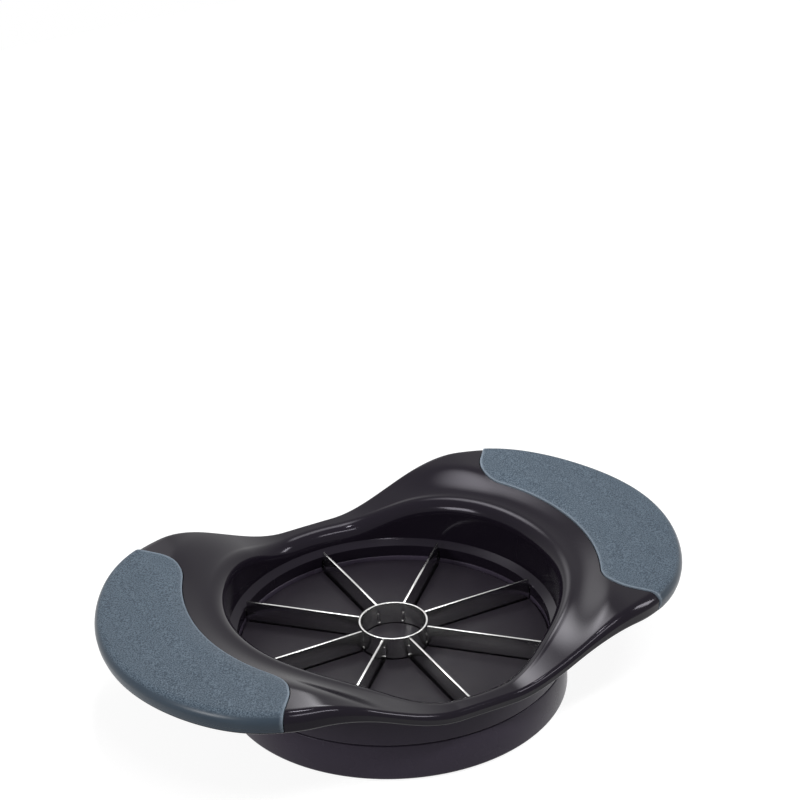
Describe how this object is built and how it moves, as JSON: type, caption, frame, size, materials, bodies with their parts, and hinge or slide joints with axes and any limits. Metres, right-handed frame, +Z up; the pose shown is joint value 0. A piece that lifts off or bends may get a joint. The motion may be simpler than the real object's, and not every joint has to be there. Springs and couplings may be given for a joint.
{
  "type": "apple slicer wedger press",
  "caption": "Saddle-shaped hand press with soft-grip wings whose radial blades and core ring wedge a round fruit over a padded base.",
  "frame": {"origin": "centre of the underside of the base's soft ring, which stands on the table", "axes": "+X along the two wings, +Z up along the press stroke, +Y across the waist"},
  "size_m": [0.188, 0.1212, 0.0412],
  "materials": {
    "frame_plastic": "glossy black moulded ABS with a slight plum cast",
    "base_plastic": "semi-gloss black moulded ABS",
    "plate_plastic": "satin black moulded ABS",
    "grip_rubber": "matte slate blue-grey soft-touch elastomer with a fine grain",
    "ring_rubber": "matte black elastomer",
    "blade_steel": "fine-ground stainless steel"
  },
  "bodies": {
    "base": {"base_body": "base_plastic", "press_plate": "plate_plastic", "non_slip_ring": "ring_rubber"},
    "cutter": {"frame_body": "frame_plastic", "left_grip": "grip_rubber", "right_grip": "grip_rubber", "blade_clamp_ring": "frame_plastic", "core_cutter": "blade_steel", "blade_1": "blade_steel", "blade_2": "blade_steel", "blade_3": "blade_steel", "blade_4": "blade_steel", "blade_5": "blade_steel", "blade_6": "blade_steel", "blade_7": "blade_steel", "blade_8": "blade_steel"}
  },
  "joints": [
    {"name": "press_slide", "type": "slide", "parent": "base", "child": "cutter", "axis": [0, 0, 1], "range_m": [0, 0.09]}
  ]
}
